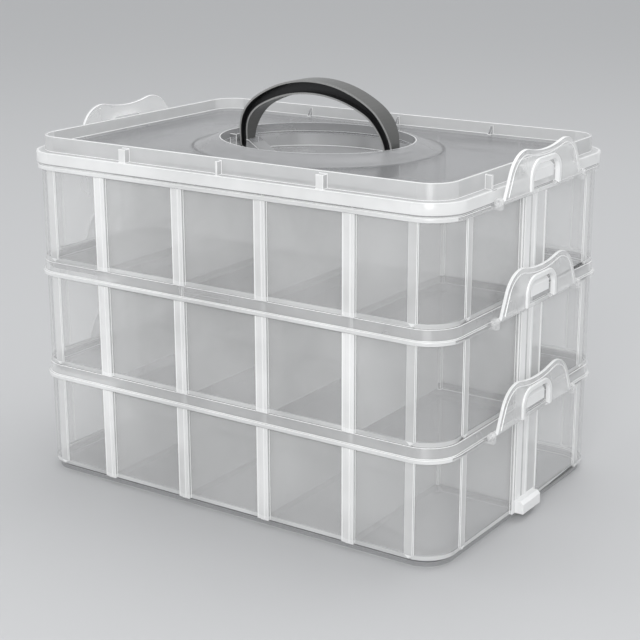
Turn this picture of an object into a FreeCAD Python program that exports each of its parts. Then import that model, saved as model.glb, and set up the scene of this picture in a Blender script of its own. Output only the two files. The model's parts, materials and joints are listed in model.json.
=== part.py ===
import FreeCAD, Part
import math
import os

# Stackable sorting box: three clear trays, a lid with a folding handle, and an end latch on each
# side of every tray. Millimetres, +Z up, X along the long side, origin at the centre of the base.

# Tiers
tray_names = ("bottom", "middle", "top")
tier_pitch = 56.0
foot_height = 4.0
tray_height = tier_pitch + foot_height

# Footprint: the bead is the widest line of the moulded shell
bead_half_x = 125.0
bead_half_y = 86.0
bead_radius = 18.0
bead_base = 52.5
bead_height = 2.0
rim_inset = 1.2
wall_inset = 2.0
wall_thickness = 1.3
nest_gap = 0.4
floor_thickness = 1.6
ledge_thickness = 1.5

# Posts on the long walls, each with a divider channel on its inside
post_pitch = 49.5
post_steps = (-1.5, -0.5, 0.5, 1.5)
post_width = 7.0
post_inset = 0.8
post_step_width = 4.6
post_step_proud = 0.5

# Upright ribs beside the rounded corners
corner_rib_width = 4.6
corner_rib_proud = 0.8
corner_rib_from_front_corner = 17.5
corner_rib_from_end_corner = 24.0
corner_rib_foot_gap = 0.3
corner_rib_point = 2.0

# Middle wall and dividers
centre_wall_thickness = 1.6
centre_wall_top = 52.0
boss_width = 5.0
boss_thickness = 4.6
divider_thickness = 1.2
divider_top = 52.0
channel_gap = 0.15
channel_end_gap = 0.2
divider_floor_gap = 0.3
outer_channel_web = 1.3
boss_channel_depth = 1.1

# Stiffening pilaster and catch lug in the middle of each end wall
pilaster_half_width = 12.5
pilaster_inset = 0.5
lug_half_width = 9.5
lug_height = 6.8
lug_reach = 4.0
lug_slope = 1.6

# Latch hinge on each end of the bead
axis_out = 2.8
axis_rise = 3.5
rod_half = 1.0
rod_half_length = 45.1
ear_wall = 0.8
ear_width = 2.5
ear_side_gap = 0.3
bore_gap = 0.12

# Latch plate
latch_thickness = 1.6
latch_half_length = 40.6
latch_height = 20.7
hump_from_end = 20.1
hump_radius = 16.5
dip_depth = 2.4
arch_half_width = 13.3
arch_catch_gap = 1.5
arch_corner_radius = 6.0
arch_border = 2.5
arch_border_proud = 0.8

# Lid
lid_seat_thickness = 1.4
skirt_gap = 0.3
skirt_thickness = 1.3
skirt_over_bead = 1.3
lid_rim_inset = 4.4
lid_rim_height = 9.2
lid_rim_thickness = 1.4
panel_drop = 6.0
panel_thickness = 1.4
gusset_pitch = 58.5
gusset_width = 4.2
middle_gusset_width = 1.2
end_gusset_pitch = 43.0
end_gusset_width = 1.6
gusset_top_drop = 1.2
inner_gusset_width = 1.6
inner_gusset_base = 3.4

# Finger recess in the lid
recess_half_x = 52.0
recess_half_y = 45.0
recess_end_radius = 41.0
recess_wall = 1.4
recess_depth = 8.2

# Handle and its pivots
handle_width = 12.0
handle_outer_x = 47.2
handle_outer_rise = 33.2
handle_inner_x = 42.0
handle_inner_rise = 26.0
handle_outer_shoulder = 27.0
handle_inner_shoulder = 20.5
handle_arch_lift = 2.7
handle_band = 1.5
handle_inner_band = 1.4
handle_groove_depth = 5.0
handle_groove_foot = 1.8
handle_floor_gap = 0.3
grip_half_length = 16.0
grip_thickness = 1.5
grip_half_width = 3.4
handle_pin_radius = 2.0
handle_pin_length = 3.0
handle_pin_gap = 0.1
handle_side_gap = 0.4
pivot_boss_half_width = 6.0
pivot_boss_top = 4.2
ramp_half_width = 5.5
ramp_thickness = 1.4
ramp_run = 14.0

# Every cut starts this far outside what it cuts
overrun = 2.0

# Levels and widths that follow from the values above
wall_x = bead_half_x - wall_inset
wall_y = bead_half_y - wall_inset
wall_r = bead_radius - wall_inset
rim_x = bead_half_x - rim_inset
rim_y = bead_half_y - rim_inset
rim_r = bead_radius - rim_inset
cavity_x = wall_x - wall_thickness
cavity_y = wall_y - wall_thickness
cavity_r = wall_r - wall_thickness
foot_x = cavity_x - nest_gap
foot_y = cavity_y - nest_gap
foot_r = cavity_r - nest_gap
pocket_x = foot_x - wall_thickness
pocket_y = foot_y - wall_thickness
pocket_r = foot_r - wall_thickness
ledge_top = foot_height + ledge_thickness
post_y = bead_half_y - post_inset
channel_y = post_y - outer_channel_web
pilaster_x = bead_half_x - pilaster_inset
axis_x = bead_half_x + axis_out
axis_z = bead_base + axis_rise
hump_half_pitch = latch_half_length - hump_from_end
lug_top = tray_height + lug_height
arch_top = lug_top + arch_catch_gap
boss_channel_y = boss_thickness / 2 - boss_channel_depth
lid_base = tray_height
lid_seat_top = lid_base + lid_seat_thickness
skirt_inner_x = rim_x + skirt_gap
skirt_inner_y = rim_y + skirt_gap
skirt_inner_r = rim_r + skirt_gap
skirt_bottom = bead_base + bead_height + skirt_over_bead
lid_rim_x = bead_half_x - lid_rim_inset
lid_rim_y = bead_half_y - lid_rim_inset
lid_rim_r = bead_radius - lid_rim_inset
lid_top = lid_base + lid_rim_height
panel_top = lid_top - panel_drop
recess_floor = panel_top - recess_depth
pivot_z = recess_floor + handle_floor_gap + handle_width / 2
arch_z = pivot_z + handle_arch_lift


def vec(x, y, z):
    return FreeCAD.Vector(x, y, z)


def block(x0, x1, y0, y1, z0, z1):
    return Part.makeBox(x1 - x0, y1 - y0, z1 - z0, vec(x0, y0, z0))


def rounded_outline(half_x, half_y, radius, z):
    """A closed rounded rectangle at height z."""
    cx = half_x - radius
    cy = half_y - radius
    mid = radius * math.sqrt(0.5)
    corners = ((cx, cy, 1, 1), (-cx, cy, -1, 1), (-cx, -cy, -1, -1), (cx, -cy, 1, -1))
    edges = []
    for x, y, sx, sy in corners:
        a = vec(x + sx * radius, y, z)
        b = vec(x + sx * mid, y + sy * mid, z)
        c = vec(x, y + sy * radius, z)
        if sx * sy < 0:
            a, c = c, a
        edges.append((a, b, c))
    parts = []
    for i, (a, b, c) in enumerate(edges):
        parts.append(Part.Arc(a, b, c).toShape())
        parts.append(Part.makeLine(c, edges[(i + 1) % len(edges)][0]))
    return Part.Wire(parts)


def rounded_block(half_x, half_y, radius, z0, z1):
    face = Part.Face(rounded_outline(half_x, half_y, radius, z0))
    return face.extrude(vec(0, 0, z1 - z0))


def prism_x(points, x0, x1):
    """A polygon of (y, z) points carried from x0 to x1."""
    wire = Part.makePolygon([vec(x0, y, z) for y, z in points] + [vec(x0, *points[0])])
    return Part.Face(wire).extrude(vec(x1 - x0, 0, 0))


def prism_y(points, y0, y1):
    """A polygon of (x, z) points carried from y0 to y1."""
    wire = Part.makePolygon([vec(x, y0, z) for x, z in points] + [vec(points[0][0], y0, points[0][1])])
    return Part.Face(wire).extrude(vec(0, y1 - y0, 0))


def crown_radius(half_x, rise, end_radius):
    """The radius of the flat arc that runs smoothly into arcs of end_radius at the ends of an oval."""
    return (half_x**2 + rise**2 - 2 * half_x * end_radius) / (2 * (rise - end_radius))


def arch_points(half_x, rise, end_radius):
    """Ends and middles of the three arcs over an oval's upper half, from right to left."""
    crown = crown_radius(half_x, rise, end_radius)
    reach = half_x - end_radius
    turn = math.atan2(crown - rise, reach)
    join = (reach + end_radius * math.cos(turn), end_radius * math.sin(turn))
    side = (reach + end_radius * math.cos(turn / 2), end_radius * math.sin(turn / 2))
    return [(half_x, 0), side, join, (0, rise), (-join[0], join[1]), (-side[0], side[1]), (-half_x, 0)]


def arc_edges(points):
    return [Part.Arc(*points[i : i + 3]).toShape() for i in range(0, len(points) - 1, 2)]


def oval_block(half_x, half_y, end_radius, z0, z1):
    upper = arch_points(half_x, half_y, end_radius)
    lower = [(x, -y) for x, y in reversed(upper)]
    edges = arc_edges([vec(x, y, z0) for x, y in upper])
    edges += arc_edges([vec(x, y, z0) for x, y in lower])
    return Part.Face(Part.Wire(edges)).extrude(vec(0, 0, z1 - z0))


def eight_sided_rod(half, y0, y1):
    """A rod along the latch hinge line with eight equal flats, half being half its width."""
    flat = half * (math.sqrt(2) - 1)
    outline = []
    for sx, sz in ((1, 1), (-1, 1), (-1, -1), (1, -1)):
        near = (axis_x + sx * half, axis_z + sz * flat)
        far = (axis_x + sx * flat, axis_z + sz * half)
        outline += [near, far] if sx * sz > 0 else [far, near]
    return prism_y(outline, y0, y1)


def both_ends(shape):
    """The shape at the +X end and the same shape at the -X end."""
    other = shape.copy()
    other.rotate(vec(0, 0, 0), vec(0, 0, 1), 180)
    return [shape, other]


def both_sides(shape):
    """The shape and its mirror image across the long middle plane."""
    return [shape, shape.mirror(vec(0, 0, 0), vec(0, 1, 0))]


def rod_x(z, radius, x0, x1):
    return Part.makeCylinder(radius, x1 - x0, vec(x0, 0, z), vec(1, 0, 0))


def lower_half_rod_x(z, radius, x0, x1):
    """The half of a rod along X that lies below its axis, at height z."""
    rod = rod_x(z, radius, x0, x1)
    return rod.cut(block(x0, x1, -radius, radius, z, z + radius))


def post_positions():
    return [step * post_pitch for step in post_steps]


def shell_outside():
    """The moulded outside of a tray: stepped foot, wall, bead and rim."""
    foot = rounded_block(foot_x, foot_y, foot_r, 0, ledge_top)
    wall = rounded_block(wall_x, wall_y, wall_r, foot_height, bead_base)
    bead = rounded_block(bead_half_x, bead_half_y, bead_radius, bead_base, bead_base + bead_height)
    rim = rounded_block(rim_x, rim_y, rim_r, bead_base, tray_height)
    return [foot, wall, bead, rim]


def shell_inside():
    """The space inside a tray, with a narrower pocket down in the foot."""
    pocket = rounded_block(pocket_x, pocket_y, pocket_r, floor_thickness, ledge_top + overrun)
    main = rounded_block(cavity_x, cavity_y, cavity_r, ledge_top, tray_height + overrun)
    return [pocket, main]


def front_posts():
    """Upright posts on a long wall, each a wide band with a narrower step standing out of it."""
    posts = []
    half = post_width / 2
    for x in post_positions():
        posts.append(block(x - half, x + half, -post_y, -foot_y, foot_height, bead_base))
        step_end = x + half
        step_y = -post_y - post_step_proud
        posts.append(block(step_end - post_step_width, step_end, step_y, -post_y, foot_height, bead_base))
    return posts


def corner_ribs():
    """An upright rib either side of each rounded corner, ending in a point above the ledge."""
    half = corner_rib_width / 2
    low = foot_height + corner_rib_foot_gap
    middle_x = bead_half_x - corner_rib_from_front_corner
    middle_y = bead_half_y - corner_rib_from_end_corner
    ribs = []
    for side in (-1, 1):
        x = side * middle_x
        outline = (
            (x - half, bead_base),
            (x - half, low + corner_rib_point),
            (x, low),
            (x + half, low + corner_rib_point),
            (x + half, bead_base),
        )
        ribs += both_sides(prism_y(outline, -wall_y - corner_rib_proud, -foot_y))
        y = side * middle_y
        outline = (
            (y - half, bead_base),
            (y - half, low + corner_rib_point),
            (y, low),
            (y + half, low + corner_rib_point),
            (y + half, bead_base),
        )
        ribs += both_ends(prism_x(outline, foot_x, wall_x + corner_rib_proud))
    return ribs


def catch_lug(z, inner_x):
    """A lug that a latch hooks over, with its top sloped down towards its outer end."""
    end = bead_half_x + lug_reach
    top = z + lug_height
    outline = ((inner_x, z), (end, z), (end, top - lug_slope), (end - lug_slope, top), (inner_x, top))
    return prism_y(outline, -lug_half_width, lug_half_width)


def pilaster():
    """The raised middle of an end wall."""
    return block(foot_x, pilaster_x, -pilaster_half_width, pilaster_half_width, foot_height, bead_base)


def hinge_ears():
    """A pair of ears on the bead, and the bores through them for the latch rods."""
    ears = []
    bores = []
    outer = rod_half_length - ear_side_gap
    root_top = bead_base + bead_height
    half = rod_half + bore_gap + ear_wall
    root = (
        (rim_x - wall_thickness / 2, bead_base),
        (axis_x + half, bead_base),
        (axis_x + half, axis_z),
        (axis_x - half, axis_z),
        (axis_x - half, root_top),
        (rim_x - wall_thickness / 2, root_top),
    )
    for side in (-1, 1):
        y0, y1 = sorted((side * outer, side * (outer - ear_width)))
        ears.append(eight_sided_rod(half, y0, y1))
        ears.append(prism_y(root, y0, y1))
        bores.append(eight_sided_rod(rod_half + bore_gap, y0 - overrun, y1 + overrun))
    return ears, bores


def centre_wall():
    """The fixed wall along the middle, with a channelled boss at each divider."""
    half = centre_wall_thickness / 2
    wall = block(-foot_x, foot_x, -half, half, floor_thickness / 2, centre_wall_top)
    bosses = []
    for x in post_positions():
        bosses.append(
            block(
                x - boss_width / 2,
                x + boss_width / 2,
                -boss_thickness / 2,
                boss_thickness / 2,
                floor_thickness / 2,
                centre_wall_top,
            )
        )
    return [wall] + bosses


def divider_channels():
    """Slots for the divider edges, in the long walls and in the middle bosses."""
    cuts = []
    half = divider_thickness / 2 + channel_gap
    for x in post_positions():
        outer = block(x - half, x + half, pocket_y, channel_y, ledge_top, tray_height + overrun)
        inner = block(x - half, x + half, boss_channel_y, boss_thickness, floor_thickness, tray_height)
        cuts += both_sides(outer) + both_sides(inner)
    return cuts


def tray():
    ears, bores = hinge_ears()
    added = list(shell_outside())
    for shape in front_posts():
        added += both_sides(shape)
    added += corner_ribs()
    for shape in [pilaster(), catch_lug(foot_height, foot_x)] + ears:
        added += both_ends(shape)
    body = added[0].multiFuse(added[1:])
    removed = list(shell_inside())
    for shape in bores:
        removed += both_ends(shape)
    body = body.cut(removed)
    walls = centre_wall()
    body = body.multiFuse(walls)
    return body.cut(divider_channels()).removeSplitter()


def divider():
    """A thin plate, narrower at its foot, standing in a wall channel and a boss channel."""
    low = floor_thickness + divider_floor_gap
    step = ledge_top + divider_floor_gap
    inner = boss_channel_y + channel_end_gap
    outer = channel_y - channel_end_gap
    foot_outer = pocket_y - channel_end_gap
    outline = (
        (inner, low),
        (foot_outer, low),
        (foot_outer, step),
        (outer, step),
        (outer, divider_top),
        (inner, divider_top),
    )
    return prism_x(outline, -divider_thickness / 2, divider_thickness / 2)


def latch_plate(x0, x1):
    """The plate with its wavy edge: a flank, a hump, a dip, a hump and a flank."""
    hump_z = axis_z + latch_height - hump_radius
    dip_z = axis_z + latch_height - dip_depth
    drop = dip_z - hump_z
    dip_radius = (hump_half_pitch**2 + drop**2 - hump_radius**2) / (2 * (hump_radius - drop))
    # the flank is the tangent from the foot of the plate to the hump
    run = latch_half_length - hump_half_pitch
    fall = hump_z - axis_z
    flank_turn = math.acos(hump_radius / math.hypot(run, fall)) - math.atan2(fall, run)
    crest_turn = math.atan2(dip_z + dip_radius - hump_z, -hump_half_pitch)
    mid_turn = (flank_turn + crest_turn) / 2
    hump_arc = []
    for turn in (flank_turn, mid_turn, crest_turn):
        y = hump_half_pitch + hump_radius * math.cos(turn)
        hump_arc.append((y, hump_z + hump_radius * math.sin(turn)))
    right = [vec(x0, y, z) for y, z in hump_arc]
    left = [vec(x0, -y, z) for y, z in reversed(hump_arc)]
    dip = vec(x0, 0, dip_z)
    foot_right = vec(x0, latch_half_length, axis_z)
    foot_left = vec(x0, -latch_half_length, axis_z)
    edges = [
        Part.makeLine(foot_right, right[0]),
        Part.Arc(*right).toShape(),
        Part.Arc(right[-1], dip, left[0]).toShape(),
        Part.Arc(*left).toShape(),
        Part.makeLine(left[-1], foot_left),
        Part.makeLine(foot_left, foot_right),
    ]
    return Part.Face(Part.Wire(edges)).extrude(vec(x1 - x0, 0, 0))


def arch_block(half_width, low, top, radius, x0, x1):
    """A round-shouldered arch standing at height low."""
    mid = radius * (1 - math.sqrt(0.5))
    shoulder = [
        vec(x0, half_width, top - radius),
        vec(x0, half_width - mid, top - mid),
        vec(x0, half_width - radius, top),
    ]
    mirrored = [vec(x0, -p.y, p.z) for p in reversed(shoulder)]
    foot_right = vec(x0, half_width, low)
    foot_left = vec(x0, -half_width, low)
    edges = [
        Part.makeLine(foot_right, shoulder[0]),
        Part.Arc(*shoulder).toShape(),
        Part.makeLine(shoulder[-1], mirrored[0]),
        Part.Arc(*mirrored).toShape(),
        Part.makeLine(mirrored[-1], foot_left),
        Part.makeLine(foot_left, foot_right),
    ]
    return Part.Face(Part.Wire(edges)).extrude(vec(x1 - x0, 0, 0))


def latch():
    """A wavy plate on a split hinge bar, with an arch that hooks over the lug above."""
    face = axis_x + latch_thickness
    border_face = face + arch_border_proud
    plate = latch_plate(axis_x, face)
    ring = arch_block(
        arch_half_width + arch_border,
        axis_z,
        arch_top + arch_border,
        arch_corner_radius + arch_border,
        axis_x,
        border_face,
    )
    solids = [ring]
    for side in (-1, 1):
        y0, y1 = sorted((side * arch_half_width, side * rod_half_length))
        solids.append(eight_sided_rod(rod_half, y0, y1))
    body = plate.multiFuse(solids)
    opening = arch_block(
        arch_half_width,
        axis_z - rod_half - overrun,
        arch_top,
        arch_corner_radius,
        axis_x - rod_half - overrun,
        border_face + overrun,
    )
    return body.cut(opening).removeSplitter()


def gussets():
    """Small ribs outside the lid's rim wall, three on each long side with a web inside, two on each end."""
    ribs = []
    top = lid_top - gusset_top_drop
    inner_y = lid_rim_y - lid_rim_thickness
    low = panel_top - panel_thickness / 2
    web = ((inner_y, low), (inner_y - inner_gusset_base, low), (inner_y, top))
    for x, width in ((-gusset_pitch, gusset_width), (0, middle_gusset_width), (gusset_pitch, gusset_width)):
        ribs += both_sides(block(x - width / 2, x + width / 2, inner_y, skirt_inner_y, lid_seat_top, top))
        half = inner_gusset_width / 2
        ribs += both_sides(prism_x(web, x - half, x + half))
    inner_x = lid_rim_x - lid_rim_thickness
    half = end_gusset_width / 2
    for side in (-1, 1):
        y = side * end_gusset_pitch
        ribs += both_ends(block(inner_x, skirt_inner_x, y - half, y + half, lid_seat_top, top))
    return ribs


def pivot_blocks():
    """Bosses outside the handle legs, and ramps inside them that fall to the recess floor."""
    outer_x = handle_outer_x + handle_side_gap
    low = recess_floor - recess_wall
    top = pivot_z + pivot_boss_top
    wide = pivot_boss_half_width
    boss = block(outer_x, recess_half_x + recess_wall, -wide, wide, low, top)
    inner_x = handle_inner_x - handle_side_gap
    crest = panel_top
    outline = (
        (inner_x, low + recess_wall / 2),
        (inner_x, crest),
        (inner_x - ramp_thickness, crest),
        (inner_x - ramp_run, recess_floor),
        (inner_x - ramp_run, low + recess_wall / 2),
    )
    ramp = prism_y(outline, -ramp_half_width, ramp_half_width)
    return both_ends(boss) + both_ends(ramp)


def recess_block(margin, z0, z1):
    """The oval of the finger recess, widened all round by margin."""
    return oval_block(
        recess_half_x + margin,
        recess_half_y + margin,
        recess_end_radius + margin,
        z0,
        z1,
    )


def lid():
    skirt_x = skirt_inner_x + skirt_thickness
    skirt_y = skirt_inner_y + skirt_thickness
    skirt_r = skirt_inner_r + skirt_thickness
    skirt = rounded_block(skirt_x, skirt_y, skirt_r, skirt_bottom, lid_seat_top)
    rim = rounded_block(lid_rim_x, lid_rim_y, lid_rim_r, lid_base, lid_top)
    under = rounded_block(skirt_inner_x, skirt_inner_y, skirt_inner_r, skirt_bottom - overrun, lid_base)
    in_x = lid_rim_x - lid_rim_thickness
    in_y = lid_rim_y - lid_rim_thickness
    in_r = lid_rim_r - lid_rim_thickness
    hollow = rounded_block(in_x, in_y, in_r, lid_base - overrun, panel_top - panel_thickness)
    tray_top = rounded_block(in_x, in_y, in_r, panel_top, lid_top + overrun)
    shell = skirt.fuse(rim).cut([under, hollow, tray_top])
    bowl = recess_block(recess_wall, recess_floor - recess_wall, panel_top)
    recess = recess_block(0, recess_floor, lid_top + overrun)
    body = shell.fuse(bowl).cut(recess)
    extra = gussets() + pivot_blocks() + both_ends(catch_lug(lid_base, lid_rim_x - lid_rim_thickness))
    body = body.multiFuse(extra)
    bore_end = handle_outer_x + handle_pin_length + handle_pin_gap * 2
    bore = rod_x(pivot_z, handle_pin_radius + handle_pin_gap, handle_outer_x, bore_end)
    return body.cut(both_ends(bore)).removeSplitter()


def arch_band(half_x, rise, shoulder, y0, y1, low):
    """A three-arc arch standing on straight legs, carried through the handle's width."""
    arch = arch_points(half_x, rise, shoulder)
    points = [vec(x, y0, arch_z + z) for x, z in arch]
    foot_right = vec(half_x, y0, low)
    foot_left = vec(-half_x, y0, low)
    edges = arc_edges(points)
    edges.append(Part.makeLine(points[-1], foot_left))
    edges.append(Part.makeLine(foot_left, foot_right))
    edges.append(Part.makeLine(foot_right, points[0]))
    return Part.Face(Part.Wire(edges)).extrude(vec(0, y1 - y0, 0))


def outer_band(inset, y0, y1, low):
    return arch_band(
        handle_outer_x - inset,
        handle_outer_rise - inset,
        handle_outer_shoulder - inset,
        y0,
        y1,
        low,
    )


def inner_band(outset, y0, y1, low):
    return arch_band(
        handle_inner_x + outset,
        handle_inner_rise + outset,
        handle_inner_shoulder + outset,
        y0,
        y1,
        low,
    )


def handle():
    """A bail with channelled faces, a grip pad in its crown and a pin on each leg."""
    half = handle_width / 2
    body = outer_band(0, -half, half, pivot_z)
    body = body.fuse(lower_half_rod_x(pivot_z, half, -handle_outer_x, handle_outer_x))
    opening = inner_band(0, -half - overrun, half + overrun, pivot_z - half - overrun)
    body = body.cut(opening)
    face_y = half - handle_groove_depth
    low = pivot_z + handle_groove_foot
    groove = outer_band(handle_band, face_y, half + overrun, low)
    core = inner_band(handle_inner_band, face_y - overrun, half + 2 * overrun, low - overrun)
    body = body.cut(both_sides(groove.cut(core)))
    pin_end = handle_outer_x + handle_pin_length
    added = both_ends(rod_x(pivot_z, handle_pin_radius, handle_outer_x, pin_end))
    grip_base = arch_z + handle_inner_rise - grip_thickness
    grip_top = grip_base + 2 * grip_thickness
    added.append(
        block(-grip_half_length, grip_half_length, -grip_half_width, grip_half_width, grip_base, grip_top)
    )
    return body.multiFuse(added).removeSplitter()


def save(shape, name):
    if not shape.isValid():
        raise ValueError(name + " is not valid")
    solids = shape.Solids
    if len(solids) != 1:
        raise ValueError(name + " has " + str(len(solids)) + " solids")
    solids[0].exportStep("parts/" + name + ".step")


def placed(shape, x, z, turned=False):
    copy = shape.copy()
    if turned:
        copy.rotate(vec(0, 0, 0), vec(0, 0, 1), 180)
    copy.translate(vec(x, 0, z))
    return copy


os.makedirs("parts", exist_ok=True)
one_tray = tray()
one_divider = divider()
one_latch = latch()
for tier, name in enumerate(tray_names):
    base = tier * tier_pitch
    save(placed(one_tray, 0, base), "tray_" + name)
    save(placed(one_latch, 0, base), "latch_" + name + "_right")
    save(placed(one_latch, 0, base, True), "latch_" + name + "_left")
    for number, x in enumerate(post_positions(), 1):
        save(placed(one_divider, x, base), "divider_" + name + "_back_" + str(number))
        save(placed(one_divider, x, base, True), "divider_" + name + "_front_" + str(number))
top_base = tier_pitch * (len(tray_names) - 1)
save(placed(lid(), 0, top_base), "lid")
save(placed(handle(), 0, top_base), "handle")
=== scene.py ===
import json
import math

import bmesh
import bpy
from mathutils import Euler, Matrix, Vector


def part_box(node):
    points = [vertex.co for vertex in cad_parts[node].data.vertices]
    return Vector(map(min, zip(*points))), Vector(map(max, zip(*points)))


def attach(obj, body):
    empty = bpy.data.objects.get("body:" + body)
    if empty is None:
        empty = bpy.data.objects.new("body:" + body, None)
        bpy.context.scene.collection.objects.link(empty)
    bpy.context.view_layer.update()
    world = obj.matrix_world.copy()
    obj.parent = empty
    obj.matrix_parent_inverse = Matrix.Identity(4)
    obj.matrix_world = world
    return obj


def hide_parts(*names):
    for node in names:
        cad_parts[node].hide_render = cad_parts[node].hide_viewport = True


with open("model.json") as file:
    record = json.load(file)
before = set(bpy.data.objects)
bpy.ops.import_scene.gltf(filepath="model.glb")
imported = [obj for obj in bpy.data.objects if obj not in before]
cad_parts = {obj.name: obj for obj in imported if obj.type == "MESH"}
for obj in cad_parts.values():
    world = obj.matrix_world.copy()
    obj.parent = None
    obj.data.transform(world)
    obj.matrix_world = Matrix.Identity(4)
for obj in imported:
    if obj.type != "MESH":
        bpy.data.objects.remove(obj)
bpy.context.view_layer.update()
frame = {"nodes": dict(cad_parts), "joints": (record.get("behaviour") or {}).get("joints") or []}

# Places taken from the frame
joints = {joint["name"]: joint for joint in frame["joints"]}
tier_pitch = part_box("tray_middle")[0].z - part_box("tray_bottom")[0].z
hinge_rise = joints["latch_bottom_right_hinge"]["pos_m"][2]
pivot_z = joints["handle_fold"]["pos_m"][2]

# Camera, in metres and degrees, from the reference view
camera_place = (0.4350, -0.6421, 0.3109)
camera_yaw = 34.03
camera_pitch = 16.48
camera_roll = -0.14
camera_lens = 85.5
camera_sensor = 36.0

# Studio
floor_half = 6.0
floor_colour = (0.55, 0.552, 0.558)
floor_roughness = 0.6
world_colour = (0.97, 0.985, 1.0)
world_strength = 0.75
key_place = (0.50, -0.98, 0.62)
key_size = 0.5
key_power = 5.8
fill_place = (-1.2, -0.2, 1.2)
fill_size = 1.0
fill_power = 2.0
top_place = (0.1, 0.6, 1.5)
top_size = 1.2
top_power = 6.0
aim_height = 0.10
see_through_layers = 64

# Heights above the lowest level of each tray, in metres
ledge_low = 0.0040
ledge_high = 0.0062
floor_top = 0.0052
bead_low = 0.0524
bead_high = 0.0546
pilaster_low = 0.0112
trim_low = 0.0046
trim_high = 0.0522

# Centres of the rounded corners, and distances out from the line that joins them
corner_x = 0.1070
corner_y = 0.0680
wall_reach = 0.0156
rib_reach = 0.0166
lid_side_reach = 0.0118
lid_skirt_reach = 0.0170

# Distances from the two upright middle planes of the box
post_plane_y = 0.0850
post_plane_x = 0.1240
middle_reach = 0.0026
arch_plane = 0.1298
ear_from_middle = 0.0410
ear_end = 0.0455
lug_front = 0.1272
lug_side = 0.0096
lid_panel_low = 0.1736
mask_soft = 0.0001

# Posts and the lines on them
post_pitch = 0.0495
post_steps = (-1.5, -0.5, 0.5, 1.5)
boss_reach = 0.0026
post_face = 0.0852
post_step_face = 0.0857
flange_line = -0.0029
step_line = 0.0014
line_width = 0.0006
line_rise = 0.00025
lean_share = 0.25
sink = 0.0001

# Bands on the end pilasters, as (from, to) across the end wall
pilaster_face = 0.1245
pilaster_bands = ((-0.0124, -0.0117), (-0.0102, -0.0045), (0.0004, 0.0013), (0.0108, 0.0122))

# The wavy edge of a latch and the line inside it
latch_face = 0.1294
latch_half = 0.0406
latch_rise = 0.0207
hump_pitch = 0.0205
hump_radius = 0.0165
dip_depth = 0.0024
line_inset = 0.0026
line_foot = 0.0012
rim_slant = 0.5
arc_steps = 12

# Collar round the finger recess
recess_half_x = 0.0520
recess_half_y = 0.0450
recess_end = 0.0410
panel_top = 0.1752
collar_top = 0.1794
collar_lip = 0.0005
collar_width = 0.0150
collar_steps = 5

# Handle; an arch is (half width, rise, end radius)
arch_z = 0.1760
outer_arch = (0.0472, 0.0332, 0.0270)
inner_arch = (0.0420, 0.0260, 0.0205)
outer_band = 0.0010
inner_band = 0.0009
web_half = 0.0010
crown_half_width = 0.0060
foot_half_width = 0.0033
taper_height = 0.0200
foot_drop = 0.0033
foot_margin = 1.2
pin_radius = 0.0020
pin_reach = 0.0030
pin_sides = 16
groove_finish = 0
# The band strips take a painted highlight and the side strips a painted sheen
highlight_band_finish = 1
sheen_side_finish = 2
handle_half = (highlight_band_finish, groove_finish, groove_finish, groove_finish, highlight_band_finish, sheen_side_finish)

# Rounded edges of the mouldings
edge_width = 0.00022
edge_angle = 50.0
weld_reach = 0.000001
flat_angle = 1.0
edge_slot = 1

# Plastic, from clear to milky; the lid's grey and the floors' grey are painted shade for the dark seen
# through them
plastic_ior = 1.49
plastic_roughness = 0.2
clear_colour = (0.90, 0.902, 0.90)
lid_painted_shade_colour = (0.27, 0.273, 0.282)
milk_colour = (0.97, 0.972, 0.968)
clear_opacity = 0.21
lid_opacity = 0.42
milk_opacity = 0.76
floor_painted_shade = (0.24, 0.243, 0.252)
floor_painted_shade_opacity = 0.36
cast_scale = 22.0
cast_detail = 3.0
cast_least = 0.5
slant_blend = 0.35
clear_slant = 0.10
lid_slant = 0.2

# Bright edges: partly thick plastic seen edge-on, partly a painted highlight
edge_milk_and_highlight_low = (0.93, 0.935, 0.93)
edge_milk_and_highlight_high = (1.0, 1.0, 1.0)
edge_opacity = 0.75
edge_detail = 2.0
ear_fading = 0.75

# How milky each zone is, from 0 to 1
rib_milk = 0.40
post_milk = 0.45
lug_milk = 0.70
bead_milk = 0.75
rim_milk = 0.15
ledge_milk = 0.60
middle_milk = 0.25
boss_milk = 0.45
side_milk = 0.62
skirt_milk = 0.30
panel_milk = 0.06
bowl_milk = 0.20
plate_milk = 0.12
arch_milk = 0.70
divider_milk = 0.22
collar_milk = 0.20

# Handle plastic, as (dark, light) of its grain: its own black in the grooves, a painted highlight on the
# bands, a painted sheen on the sides
groove_colours = ((0.012, 0.012, 0.013), (0.022, 0.022, 0.023))
highlight_band_colours = ((0.26, 0.26, 0.255), (0.34, 0.34, 0.335))
sheen_side_colours = ((0.075, 0.075, 0.072), (0.10, 0.10, 0.096))
grain_scale = 1400.0
grain_detail = 2.0
grain_gloss = 0.16
least_roughness = 0.24
bump_strength = 0.12
bump_depth = 0.0001


def new_material(name):
    material = bpy.data.materials.new(name)
    material.use_nodes = True
    return material, material.node_tree, material.node_tree.nodes["Principled BSDF"]


def feed(tree, value, socket):
    """Links a socket, or sets it to a colour or a number."""
    if isinstance(value, bpy.types.NodeSocket):
        tree.links.new(value, socket)
    elif isinstance(value, tuple):
        socket.default_value = (*value, 1.0)
    else:
        socket.default_value = value


def math_node(tree, operation, first, second=0.0, clamp=False):
    node = tree.nodes.new("ShaderNodeMath")
    node.operation = operation
    node.use_clamp = clamp
    feed(tree, first, node.inputs[0])
    feed(tree, second, node.inputs[1])
    return node.outputs[0]


def noise(tree, scale, detail):
    place = tree.nodes.new("ShaderNodeTexCoord")
    texture = tree.nodes.new("ShaderNodeTexNoise")
    texture.inputs["Scale"].default_value = scale
    texture.inputs["Detail"].default_value = detail
    tree.links.new(place.outputs["Object"], texture.inputs["Vector"])
    return texture.outputs["Fac"]


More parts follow.
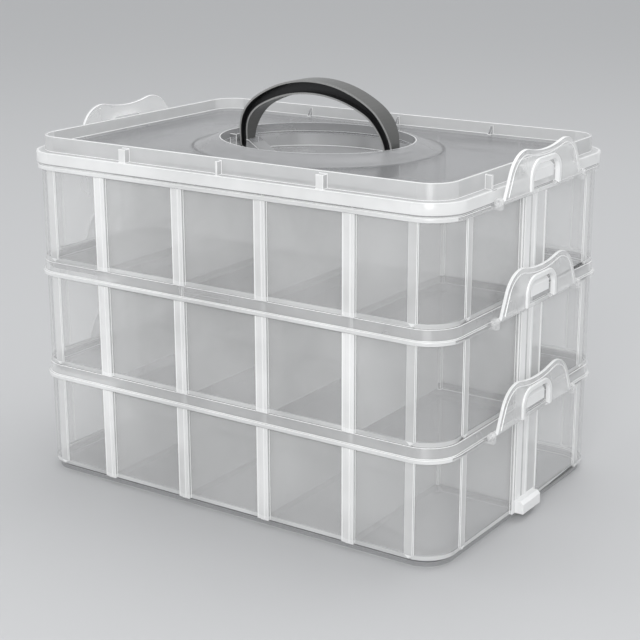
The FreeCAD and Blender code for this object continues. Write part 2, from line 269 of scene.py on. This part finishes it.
def coordinates(tree):
    """The point's x, y and z in the frame."""
    place = tree.nodes.new("ShaderNodeTexCoord")
    parts = tree.nodes.new("ShaderNodeSeparateXYZ")
    tree.links.new(place.outputs["Object"], parts.inputs["Vector"])
    return parts.outputs["X"], parts.outputs["Y"], parts.outputs["Z"]


def away_from_middle(tree):
    """Distances from the box's two upright middle planes, and the height."""
    x, y, z = coordinates(tree)
    return math_node(tree, "ABSOLUTE", x), math_node(tree, "ABSOLUTE", y), z


def from_corner(tree, x, y):
    """Distance from the line of corner centres, the same all round a rounded rectangle."""
    squares = []
    for value, centre in ((x, corner_x), (y, corner_y)):
        side = math_node(tree, "MAXIMUM", math_node(tree, "SUBTRACT", value, centre))
        squares.append(math_node(tree, "POWER", side, 2.0))
    return math_node(tree, "SQRT", math_node(tree, "ADD", *squares))


def from_post(tree):
    """Distance along the box from the nearest divider line."""
    turn = math_node(tree, "FLOORED_MODULO", coordinates(tree)[0], post_pitch)
    return math_node(tree, "ABSOLUTE", math_node(tree, "SUBTRACT", turn, post_pitch / 2))


# Masks are sockets that hold 1 inside a zone and 0 outside it


def beyond(tree, value, limit):
    """1 where value is over the limit and 0 below it."""
    ramp = tree.nodes.new("ShaderNodeMapRange")
    ramp.inputs["From Min"].default_value = limit - mask_soft
    ramp.inputs["From Max"].default_value = limit + mask_soft
    tree.links.new(value, ramp.inputs["Value"])
    return ramp.outputs["Result"]


def opposite(tree, mask):
    return math_node(tree, "SUBTRACT", 1.0, mask)


def short_of(tree, value, limit):
    """1 where value is under the limit and 0 above it."""
    return opposite(tree, beyond(tree, value, limit))


def within(tree, value, low, high):
    return math_node(tree, "SUBTRACT", beyond(tree, value, low), beyond(tree, value, high))


def either(tree, first, second):
    return math_node(tree, "MAXIMUM", first, second)


def both(tree, first, second):
    return math_node(tree, "MULTIPLY", first, second)


def milk_share(tree, zones, start=0.0):
    """The start and the (mask, share) zones added up, held between 0 and 1."""
    total = start
    for mask, share in zones:
        part = math_node(tree, "MULTIPLY", mask, share)
        total = math_node(tree, "ADD", total, part, clamp=True)
    return total


def blend_number(tree, mask, low, high):
    ramp = tree.nodes.new("ShaderNodeMapRange")
    ramp.inputs["To Min"].default_value = low
    ramp.inputs["To Max"].default_value = high
    tree.links.new(mask, ramp.inputs["Value"])
    return ramp.outputs["Result"]


def blend_colour(tree, mask, low, high):
    mix = tree.nodes.new("ShaderNodeMix")
    mix.data_type = "RGBA"
    tree.links.new(mask, mix.inputs["Factor"])
    ends = [socket for socket in mix.inputs if socket.type == "RGBA"]
    feed(tree, low, ends[0])
    feed(tree, high, ends[1])
    return [socket for socket in mix.outputs if socket.type == "RGBA"][0]


def cast_opacity(tree, opacity, slanted):
    """The opacity, cloudy as cast plastic is, and more at a slant."""
    slant = tree.nodes.new("ShaderNodeLayerWeight")
    slant.inputs["Blend"].default_value = slant_blend
    cloud = math_node(tree, "ADD", noise(tree, cast_scale, cast_detail), cast_least)
    cast = math_node(tree, "MULTIPLY", cloud, opacity)
    slant_part = math_node(tree, "MULTIPLY", slant.outputs["Facing"], slanted)
    return math_node(tree, "ADD", cast, slant_part, clamp=True)


def milky_look(tree, milk, clear, thinnest, slanted):
    """Colour and opacity from clear to milky."""
    colour = blend_colour(tree, milk, clear, milk_colour)
    return colour, cast_opacity(tree, blend_number(tree, milk, thinnest, milk_opacity), slanted)


def finish_plastic(tree, shader, colour, opacity):
    shader.inputs["Roughness"].default_value = plastic_roughness
    shader.inputs["IOR"].default_value = plastic_ior
    feed(tree, colour, shader.inputs["Base Color"])
    feed(tree, opacity, shader.inputs["Alpha"])


def tray_plastic(name, base):
    """Milkier posts, ribs, ledge, bead and rim, and floors greyed with painted shade; base is the tray's
    lowest level.
    """
    material, tree, shader = new_material(name)
    x, y, z = away_from_middle(tree)
    reach = from_corner(tree, x, y)
    under_bead = short_of(tree, z, base + bead_low)
    bead = within(tree, z, base + bead_low, base + bead_high)
    ledge = within(tree, z, base + ledge_low, base + ledge_high)
    rim = beyond(tree, z, base + bead_high)
    end_block = beyond(tree, x, post_plane_x)
    post = beyond(tree, y, post_plane_y)
    outer_rib = beyond(tree, reach, rib_reach)
    outer_wall = beyond(tree, reach, wall_reach)
    lug = both(tree, end_block, short_of(tree, z, base + pilaster_low))
    middle = short_of(tree, y, middle_reach)
    boss = both(tree, middle, short_of(tree, from_post(tree), boss_reach))
    ear = both(tree, end_block, beyond(tree, y, ear_from_middle))
    outer_bead = both(tree, both(tree, outer_rib, bead), opposite(tree, ear))
    zones = (
        (both(tree, outer_rib, under_bead), rib_milk),
        (both(tree, post, under_bead), post_milk),
        (lug, lug_milk),
        (outer_bead, bead_milk),
        (both(tree, outer_rib, rim), rim_milk),
        (both(tree, outer_wall, ledge), ledge_milk),
        (middle, middle_milk),
        (boss, boss_milk),
    )
    colour, opacity = milky_look(tree, milk_share(tree, zones), clear_colour, clear_opacity, clear_slant)
    # Painted shade: the floors turn grey and more opaque, standing for the dark seen through them
    floor = both(tree, short_of(tree, z, base + floor_top), short_of(tree, reach, wall_reach))
    painted_shade_cover = math_node(tree, "MULTIPLY", floor, floor_painted_shade_opacity)
    opacity = math_node(tree, "MAXIMUM", opacity, painted_shade_cover)
    finish_plastic(tree, shader, blend_colour(tree, floor, colour, floor_painted_shade), opacity)
    return material


def lid_plastic():
    """The rim and skirt milky, the dropped panel grey with painted shade, the walls of the recess in
    between.
    """
    material, tree, shader = new_material("lid_plastic")
    x, y, z = away_from_middle(tree)
    reach = from_corner(tree, x, y)
    side = beyond(tree, reach, lid_side_reach)
    skirt = beyond(tree, reach, lid_skirt_reach)
    bowl = opposite(tree, either(tree, side, beyond(tree, z, lid_panel_low)))
    middle = opposite(tree, side)
    zones = ((side, side_milk), (skirt, skirt_milk), (middle, panel_milk), (bowl, bowl_milk))
    milk = milk_share(tree, zones)
    finish_plastic(tree, shader, *milky_look(tree, milk, lid_painted_shade_colour, lid_opacity, lid_slant))
    return material


def latch_plastic():
    """A clear plate with a milky border round its arch."""
    material, tree, shader = new_material("latch_plastic")
    arch = beyond(tree, away_from_middle(tree)[0], arch_plane)
    milk = milk_share(tree, ((arch, arch_milk),), start=plate_milk)
    finish_plastic(tree, shader, *milky_look(tree, milk, clear_colour, clear_opacity, clear_slant))
    return material


def even_plastic(name, milk, clear, thinnest, slanted):
    """One milkiness all over."""
    material, tree, shader = new_material(name)
    colour = tuple(low + (high - low) * milk for low, high in zip(clear, milk_colour))
    opacity = thinnest + (milk_opacity - thinnest) * milk
    finish_plastic(tree, shader, colour, cast_opacity(tree, opacity, slanted))
    return material


def edge_plastic():
    """Bright edges, partly where the moulding is thickest to the eye and partly a painted highlight, and
    fainter ones on the small hinge ears.
    """
    material, tree, shader = new_material("edge_plastic")
    x, y, _ = away_from_middle(tree)
    ear = both(tree, beyond(tree, x, post_plane_x), within(tree, y, ear_from_middle, ear_end))
    strong = opposite(tree, math_node(tree, "MULTIPLY", ear, ear_fading))
    drift = noise(tree, cast_scale, edge_detail)
    colour = blend_colour(tree, drift, edge_milk_and_highlight_low, edge_milk_and_highlight_high)
    finish_plastic(tree, shader, colour, both(tree, blend_number(tree, drift, edge_opacity, 1.0), strong))
    return material


def grained_plastic(name, colours):
    """Moulded plastic with a low gloss and a fine grain."""
    material, tree, shader = new_material(name)
    shader.inputs["IOR"].default_value = plastic_ior
    grain = noise(tree, grain_scale, grain_detail)
    feed(tree, blend_colour(tree, grain, *colours), shader.inputs["Base Color"])
    rough = math_node(tree, "MULTIPLY", grain, grain_gloss)
    feed(tree, math_node(tree, "ADD", rough, least_roughness), shader.inputs["Roughness"])
    bump = tree.nodes.new("ShaderNodeBump")
    bump.inputs["Strength"].default_value = bump_strength
    bump.inputs["Distance"].default_value = bump_depth
    tree.links.new(grain, bump.inputs["Height"])
    tree.links.new(bump.outputs["Normal"], shader.inputs["Normal"])
    return material


def dress(node, material, edge):
    """The node's plastic, and a fine rounded edge in its own finish, which is partly a painted highlight."""
    holder = frame["nodes"][node]
    mesh = holder.data
    mesh.materials.clear()
    mesh.materials.append(material)
    mesh.materials.append(edge)
    weld = holder.modifiers.new("weld", "WELD")
    weld.merge_threshold = weld_reach
    flat = holder.modifiers.new("flat", "DECIMATE")
    flat.decimate_type = "DISSOLVE"
    flat.angle_limit = math.radians(flat_angle)
    flat.delimit = {"MATERIAL"}
    rounded = holder.modifiers.new("edges", "BEVEL")
    rounded.width = edge_width
    rounded.segments = 1
    rounded.limit_method = "ANGLE"
    rounded.angle_limit = math.radians(edge_angle)
    rounded.use_clamp_overlap = False
    rounded.material = edge_slot


def light_rims(node, base):
    """The narrow sides of a latch plate take the bright edge finish, partly a painted highlight; its hinge
    bar does not.
    """
    mesh = frame["nodes"][node].data
    for polygon in mesh.polygons:
        top = max(mesh.vertices[i].co.z for i in polygon.vertices)
        if abs(polygon.normal.x) < rim_slant and top > base + hinge_rise + pin_radius:
            polygon.material_index = edge_slot


def light_lugs(node):
    """The catch lugs on the ends of a tray or the lid take the bright edge finish, partly a painted
    highlight.
    """
    mesh = frame["nodes"][node].data
    for polygon in mesh.polygons:
        corners = [mesh.vertices[i].co for i in polygon.vertices]
        front = max(abs(corner.x) for corner in corners)
        side = max(abs(corner.y) for corner in corners)
        if front > lug_front and side < lug_side:
            polygon.material_index = edge_slot


def piece(name, lofts, materials, body, closed=False):
    """One object of several lofts, each a list of rings with the same number of points."""
    mesh = bpy.data.meshes.new(name)
    points = []
    faces = []
    for rings in lofts:
        start = len(points)
        count = len(rings[0])
        for ring in rings:
            points += ring
        spans = len(rings) if closed else len(rings) - 1
        for span in range(spans):
            near = start + span * count
            far = start + (span + 1) % len(rings) * count
            for i in range(count):
                j = (i + 1) % count
                faces.append((near + i, near + j, far + j, far + i))
        if not closed:
            faces.append(tuple(range(start, start + count)))
            faces.append(tuple(range(len(points) - count, len(points))))
    mesh.from_pydata(points, [], faces)
    shape = bmesh.new()
    shape.from_mesh(mesh)
    bmesh.ops.recalc_face_normals(shape, faces=shape.faces)
    shape.to_mesh(mesh)
    shape.free()
    for material in materials:
        mesh.materials.append(material)
    holder = bpy.data.objects.new(name, mesh)
    bpy.context.collection.objects.link(holder)
    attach(holder, body)
    return holder


def eased(share):
    """From 0 to 1 with a level start and a level end."""
    return share * share * (3 - 2 * share)


def upright_line(across, face, low, high, place):
    """A raised line with tapered ends; place turns (across, out, z) into a point."""
    a, b = across
    lean = min((b - a) * lean_share, line_rise)
    rings = []
    for z, out in ((low, -sink), (low + line_rise, line_rise), (high - line_rise, line_rise), (high, -sink)):
        rings.append([
            place(a, face - sink, z),
            place(b, face - sink, z),
            place(b - lean, face + out, z),
            place(a + lean, face + out, z),
        ])
    return rings


def long_wall(side):
    return lambda across, out, z: (across, side * out, z)


def end_wall(side):
    return lambda across, out, z: (side * out, side * across, z)


def tray_trim(name, base, material):
    """Lines on the posts and bands on the end pilasters, in the bright edge finish: painted highlights along
    their steps.
    """
    lofts = []
    top = base + trim_high
    for side in (-1, 1):
        for step in post_steps:
            for offset, face in ((flange_line, post_face), (step_line, post_step_face)):
                middle = step * post_pitch + offset
                across = (middle - line_width / 2, middle + line_width / 2)
                lofts.append(upright_line(across, face, base + trim_low, top, long_wall(side)))
        for across in pilaster_bands:
            lofts.append(upright_line(across, pilaster_face, base + pilaster_low, top, end_wall(side)))
    piece("trim_" + name, lofts, [material], name)


def wavy_line(inset):
    """Half of the latch's wavy outline, inset by a width: (y, z above the hinge) from foot to dip."""
    hump_z = latch_rise - hump_radius
    dip_z = latch_rise - dip_depth
    drop = dip_z - hump_z
    dip_radius = (hump_pitch**2 + drop**2 - hump_radius**2) / (2 * (hump_radius - drop))
    dip_centre = dip_z + dip_radius
    run = latch_half - hump_pitch
    flank = math.acos(hump_radius / math.hypot(run, hump_z)) - math.atan2(hump_z, run)
    crest = math.atan2(dip_centre - hump_z, -hump_pitch)
    hump = hump_radius - inset
    points = []
    for step in range(arc_steps + 1):
        turn = flank + (crest - flank) * step / arc_steps
        points.append((hump_pitch + hump * math.cos(turn), hump_z + hump * math.sin(turn)))
    low = math.atan2(hump_z - dip_centre, hump_pitch)
    dip = dip_radius + inset
    for step in range(1, arc_steps + 1):
        turn = low + (-math.pi / 2 - low) * step / arc_steps
        points.append((dip * math.cos(turn), dip_centre + dip * math.sin(turn)))
    first_y, first_z = points[0]
    reach = (first_z - line_foot) / math.cos(flank)
    foot = (first_y + math.sin(flank) * reach, first_z - math.cos(flank) * reach)
    return [foot] + points


def latch_line(node, base, side, material):
    """A fine raised line along the inside of the wavy edge, in the bright edge finish, partly a painted
    highlight.
    """
    half = wavy_line(line_inset)
    path = half + [(-y, z) for y, z in reversed(half[:-1])]
    section = (
        (-sink, -line_width),
        (-sink, line_width),
        (line_rise, line_width / 2),
        (line_rise, -line_width / 2),
    )
    rings = []
    for i, (y, z) in enumerate(path):
        before = path[max(i - 1, 0)]
        after = path[min(i + 1, len(path) - 1)]
        along = Vector((after[0] - before[0], after[1] - before[1])).normalized()
        ring = []
        for out, width in section:
            across = y - along.y * width / 2
            height = base + hinge_rise + z + along.x * width / 2
            ring.append((side * (latch_face + out), side * across, height))
        rings.append(ring)
    piece("line_" + node, [rings], [material], node)


def arch_curve(half_x, rise, end_radius):
    """Points over an oval's upper half, from right to left."""
    crown = (half_x**2 + rise**2 - 2 * half_x * end_radius) / (2 * (rise - end_radius))
    reach = half_x - end_radius
    turn = math.atan2(crown - rise, reach)
    points = []
    for step in range(arc_steps + 1):
        angle = turn * step / arc_steps
        points.append((reach + end_radius * math.cos(angle), end_radius * math.sin(angle)))
    crown_steps = 2 * arc_steps
    for step in range(1, crown_steps):
        angle = turn + (math.pi - 2 * turn) * step / crown_steps
        points.append((crown * math.cos(angle), rise - crown + crown * math.sin(angle)))
    return points + [(-x, z) for x, z in reversed(points[: arc_steps + 1])]


def recess_collar(materials):
    """The panel rises smoothly to the edge of the finger recess."""
    foot = panel_top - sink
    slope = [(0.0, foot), (0.0, collar_top), (collar_lip, collar_top)]
    for step in range(1, collar_steps + 1):
        share = step / collar_steps
        slope.append((collar_lip + share * collar_width, collar_top - eased(share) * (collar_top - foot)))
    rows = []
    for margin, z in slope:
        upper = arch_curve(recess_half_x + margin, recess_half_y + margin, recess_end + margin)
        loop = upper[:-1] + [(-x, -y) for x, y in upper[:-1]]
        rows.append([(x, y, z) for x, y in loop])
    rings = [list(ring) for ring in zip(*rows)]
    holder = piece("recess_collar", [rings], materials, "lid", closed=True)
    for polygon in holder.data.polygons:
        # The collar's top takes the bright edge finish, partly a painted highlight
        if polygon.center.z > collar_top - sink:
            polygon.material_index = edge_slot
        elif polygon.normal.z > 0:
            polygon.use_smooth = True


def bail_half_width(z):
    """Half the width of the bail at a height, round at the foot and widest in the arch."""
    if z < pivot_z:
        return math.sqrt(max(foot_half_width**2 - (pivot_z - z) ** 2, foot_margin * web_half**2))
    share = min((z - pivot_z) / taper_height, 1.0)
    return foot_half_width + (crown_half_width - foot_half_width) * eased(share)


def bail_ring(far, near):
    """A section with a groove in both faces, between the outer and the inner arch."""
    half = bail_half_width(far[1])
    span = math.hypot(far[0] - near[0], far[1] - near[1])
    inner = inner_band / span
    outer = 1 - outer_band / span
    front = ((0, half), (inner, half), (inner, web_half), (outer, web_half), (outer, half), (1, half))
    section = [(share, -y) for share, y in front] + list(reversed(front))
    ring = []
    for share, y in section:
        ring.append((near[0] + (far[0] - near[0]) * share, y, near[1] + (far[1] - near[1]) * share))
    return ring


def handle_pin(side):
    rings = []
    for x in (outer_arch[0] - outer_band, outer_arch[0] + pin_reach):
        ring = []
        for step in range(pin_sides):
            turn = 2 * math.pi * step / pin_sides
            ring.append((side * x, pin_radius * math.cos(turn), pivot_z + pin_radius * math.sin(turn)))
        rings.append(ring)
    return rings


def handle_bail(materials):
    """An arched bail with a grooved face front and back, narrower towards its pivots."""
    arch = []
    for (x, z), (u, w) in zip(arch_curve(*outer_arch), arch_curve(*inner_arch)):
        arch.append(((x, arch_z + z), (u, arch_z + w)))
    foot = []
    for z in (pivot_z - foot_drop, pivot_z - foot_drop / 2, pivot_z):
        foot.append(((outer_arch[0], z), (inner_arch[0], z)))
    other = [((-far[0], far[1]), (-near[0], near[1])) for far, near in reversed(foot)]
    rings = [bail_ring(far, near) for far, near in foot + arch + other]
    holder = piece("handle_bail", [rings], materials, "handle")
    strips = len(rings[0])
    # Painted highlight on the bands and painted sheen on the sides
    for polygon in holder.data.polygons[: strips * (len(rings) - 1)]:
        polygon.material_index = handle_half[polygon.index % strips % len(handle_half)]
    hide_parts("handle")
    piece("handle_pins", [handle_pin(side) for side in (-1, 1)], materials, "handle")


def dress_box():
    # The bright edge finish is partly a painted highlight
    edge = edge_plastic()
    lid = lid_plastic()
    groove = grained_plastic("handle_plastic", groove_colours)
    # The handle's bands carry a painted highlight and its sides a painted sheen
    band = grained_plastic("handle_band", highlight_band_colours)
    sheen = grained_plastic("handle_side", sheen_side_colours)
    latch = latch_plastic()
    divider = even_plastic("divider_plastic", divider_milk, clear_colour, clear_opacity, clear_slant)
    # The collar starts from the lid's painted shade grey
    collar = even_plastic("collar_plastic", collar_milk, lid_painted_shade_colour, lid_opacity, lid_slant)
    for tier, name in enumerate(("bottom", "middle", "top")):
        base = tier * tier_pitch
        tray = "tray_" + name
        dress(tray, tray_plastic(tray + "_plastic", base), edge)
        light_lugs(tray)
        tray_trim(tray, base, edge)
        for end, side in (("right", 1), ("left", -1)):
            node = "latch_" + name + "_" + end
            dress(node, latch, edge)
            light_rims(node, base)
            latch_line(node, base, side, edge)
    for node in frame["nodes"]:
        if node.startswith("divider_"):
            dress(node, divider, edge)
    dress("lid", lid, edge)
    light_lugs("lid")
    recess_collar([collar, edge])
    handle_bail([groove, band, sheen])


def studio_floor():
    paint, _, shader = new_material("floor_paint")
    shader.inputs["Base Color"].default_value = (*floor_colour, 1.0)
    shader.inputs["Roughness"].default_value = floor_roughness
    bpy.ops.mesh.primitive_plane_add(size=2 * floor_half)
    floor = bpy.context.object
    floor.name = "floor"
    floor.data.materials.append(paint)


def studio_world():
    world = bpy.data.worlds.new("studio")
    world.use_nodes = True
    background = world.node_tree.nodes["Background"]
    background.inputs["Color"].default_value = (*world_colour, 1.0)
    background.inputs["Strength"].default_value = world_strength
    bpy.context.scene.world = world


def soft_lamp(name, place, size, power):
    lamp = bpy.data.lights.new(name, "AREA")
    lamp.shape = "DISK"
    lamp.size = size
    lamp.energy = power
    holder = bpy.data.objects.new(name, lamp)
    holder.location = place
    aim = Vector((0, 0, aim_height)) - Vector(place)
    holder.rotation_euler = aim.to_track_quat("-Z", "Y").to_euler()
    bpy.context.collection.objects.link(holder)


def camera():
    data = bpy.data.cameras.new("camera")
    data.lens = camera_lens
    data.sensor_width = camera_sensor
    holder = bpy.data.objects.new("camera", data)
    turn = Euler((math.radians(90 - camera_pitch), 0, math.radians(camera_yaw))).to_matrix()
    turn = turn @ Matrix.Rotation(math.radians(camera_roll), 3, "Z")
    holder.matrix_world = Matrix.Translation(camera_place) @ turn.to_4x4()
    bpy.context.collection.objects.link(holder)
    bpy.context.scene.camera = holder


dress_box()
studio_floor()
studio_world()
soft_lamp("key", key_place, key_size, key_power)
soft_lamp("fill", fill_place, fill_size, fill_power)
soft_lamp("top", top_place, top_size, top_power)
camera()
scene = bpy.context.scene
scene.view_settings.view_transform = "Standard"
scene.cycles.transparent_max_bounces = see_through_layers
